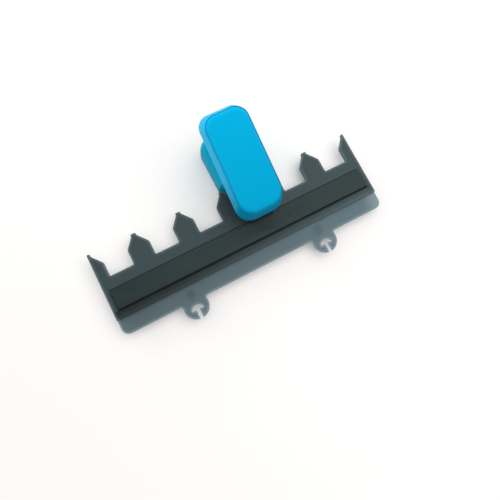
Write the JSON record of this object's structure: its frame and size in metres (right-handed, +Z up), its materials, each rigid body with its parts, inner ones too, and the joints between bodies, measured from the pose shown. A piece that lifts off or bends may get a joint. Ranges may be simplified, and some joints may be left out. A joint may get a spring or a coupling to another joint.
{
  "type": "disc binding punch",
  "caption": "Small hand punch with a blue lever, standing in a notched clear plastic paper guide, that cuts mushroom holes for disc-bound sheets.",
  "frame": {"origin": "under the middle of the whole part's box, at table height", "axes": "+X along the guide, +Y to the rear where the punch's lever rises, +Z up"},
  "size_m": [0.1524, 0.0848, 0.0439],
  "materials": {
    "clear_plate": "smoke-grey clear plastic, fine satin",
    "strip": "dark satin",
    "blue_lever": "satin moulded plastic",
    "blue_body": "satin moulded plastic",
    "cast": "black paint on a zinc casting",
    "steel": "ground steel",
    "rubber": "matte",
    "tray": "satin"
  },
  "bodies": {
    "guide": {"base_plate": "clear_plate", "slot_spacers": "clear_plate", "top_plate": "clear_plate", "cover_strip": "strip", "guide_feet": "rubber"},
    "punch": {"punch_frame": "cast", "die_plate": "steel", "die_screws": "steel", "pivot_pin": "steel", "pivot_clips": "steel", "return_spring": "steel", "base_housing": "blue_body", "deck_screws": "steel", "base_pads": "rubber"},
    "tray": {"chip_tray": "tray"},
    "lever": {"lever_shell": "blue_lever", "lever_cap": "blue_lever", "lever_core": "steel", "core_screws": "steel"},
    "cutter": {"punch_cutter": "steel", "drive_pin": "steel", "drive_clips": "steel"}
  },
  "joints": [
    {"name": "punch_pull", "type": "slide", "parent": "guide", "child": "punch", "axis": [0, 1, 0], "range_m": [0, 0.045]},
    {"name": "lever_press", "type": "hinge", "parent": "punch", "child": "lever", "pos_m": [0.0127, -0.00528, 0.0224], "axis": [-1, 0, 0], "range_deg": [0, 24], "stiffness_Nm_per_rad": 0.5, "springref_deg": -17.19},
    {"name": "cutter_stroke", "type": "slide", "parent": "punch", "child": "cutter", "axis": [0, 0, -1], "range_m": [0, 0.0056], "deforming": ["return_spring"]},
    {"name": "tray_pull", "type": "slide", "parent": "punch", "child": "tray", "axis": [0, 1, 0], "range_m": [0, 0.02]}
  ],
  "couplings": [
    {"joint": "cutter_stroke", "follows": "lever_press", "m_per_rad": 0.013299}
  ]
}
